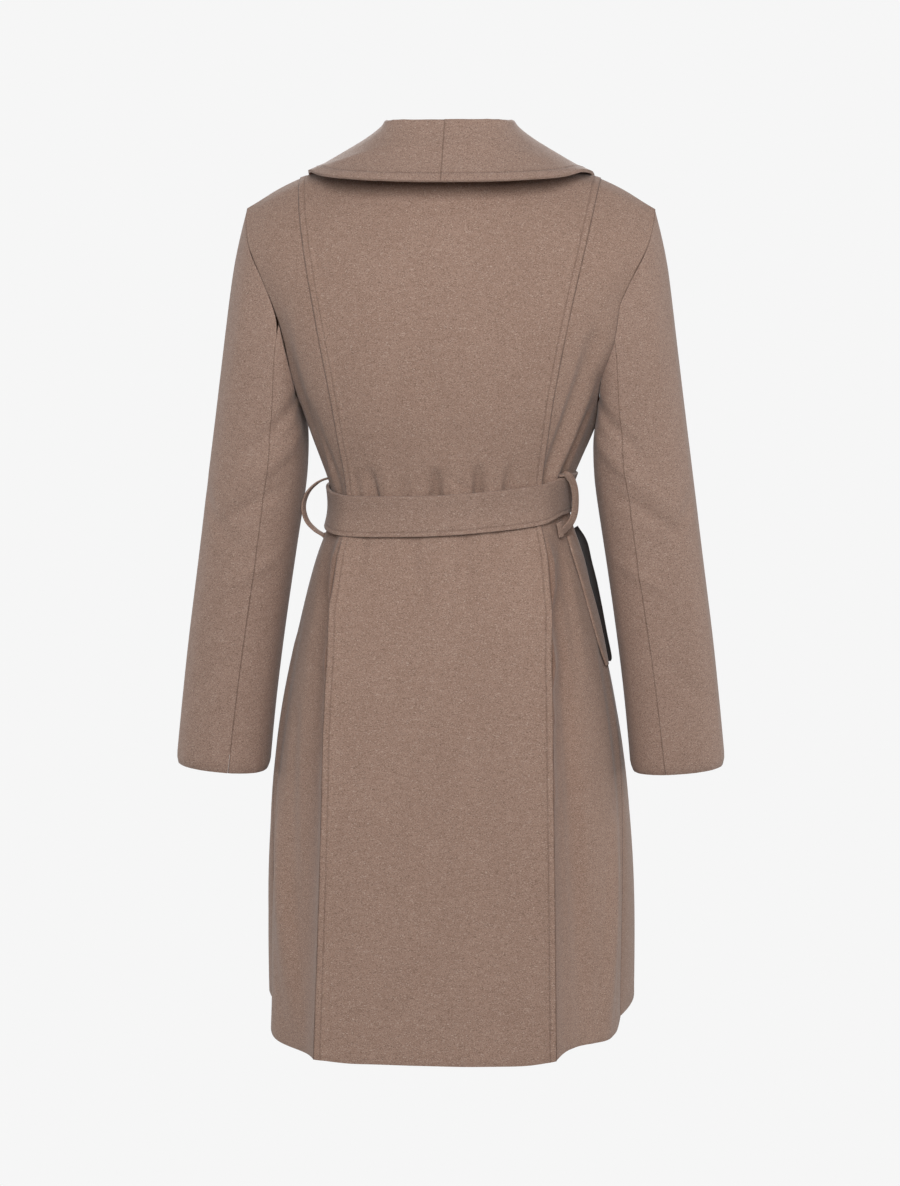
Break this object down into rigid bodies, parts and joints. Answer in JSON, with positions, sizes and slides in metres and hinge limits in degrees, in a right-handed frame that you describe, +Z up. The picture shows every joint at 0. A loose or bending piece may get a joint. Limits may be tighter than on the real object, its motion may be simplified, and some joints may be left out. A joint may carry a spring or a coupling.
{
  "type": "belted wrap coat",
  "caption": "Hollow worn wrap coat in thick wool cloth with a shawl collar, long two-piece sleeves, a flared skirt and a tie belt with side loops.",
  "frame": {"origin": "midway between the two neck points on the shoulder line, where the wearer's shoulders hold the coat", "axes": "+Z up, the back of the coat faces +Y and its front -Y, the wearer's left is +X"},
  "size_m": [0.5896, 0.3599, 0.9555],
  "materials": {
    "body": "brushed melange wool coating, matt",
    "collar": "brushed melange wool coating, matt",
    "sleeve": "brushed melange wool coating, matt",
    "belt": "brushed melange wool coating, topstitched",
    "pocketing": "smooth dark pocketing"
  },
  "bodies": {
    "root": {"back_centre": "body", "back_side_left": "body", "back_side_right": "body", "belt_band": "belt", "belt_knot": "belt", "belt_loop_left": "belt", "belt_loop_right": "belt", "belt_tail_left": "belt", "belt_tail_right": "belt", "collar_left": "collar", "collar_right": "collar", "front_left": "body", "front_right": "body", "pocket_lining_right": "pocketing", "pocket_welt_right": "body", "sleeve_top_left": "sleeve", "sleeve_top_right": "sleeve", "sleeve_under_left": "sleeve", "sleeve_under_right": "sleeve"}
  },
  "joints": []
}
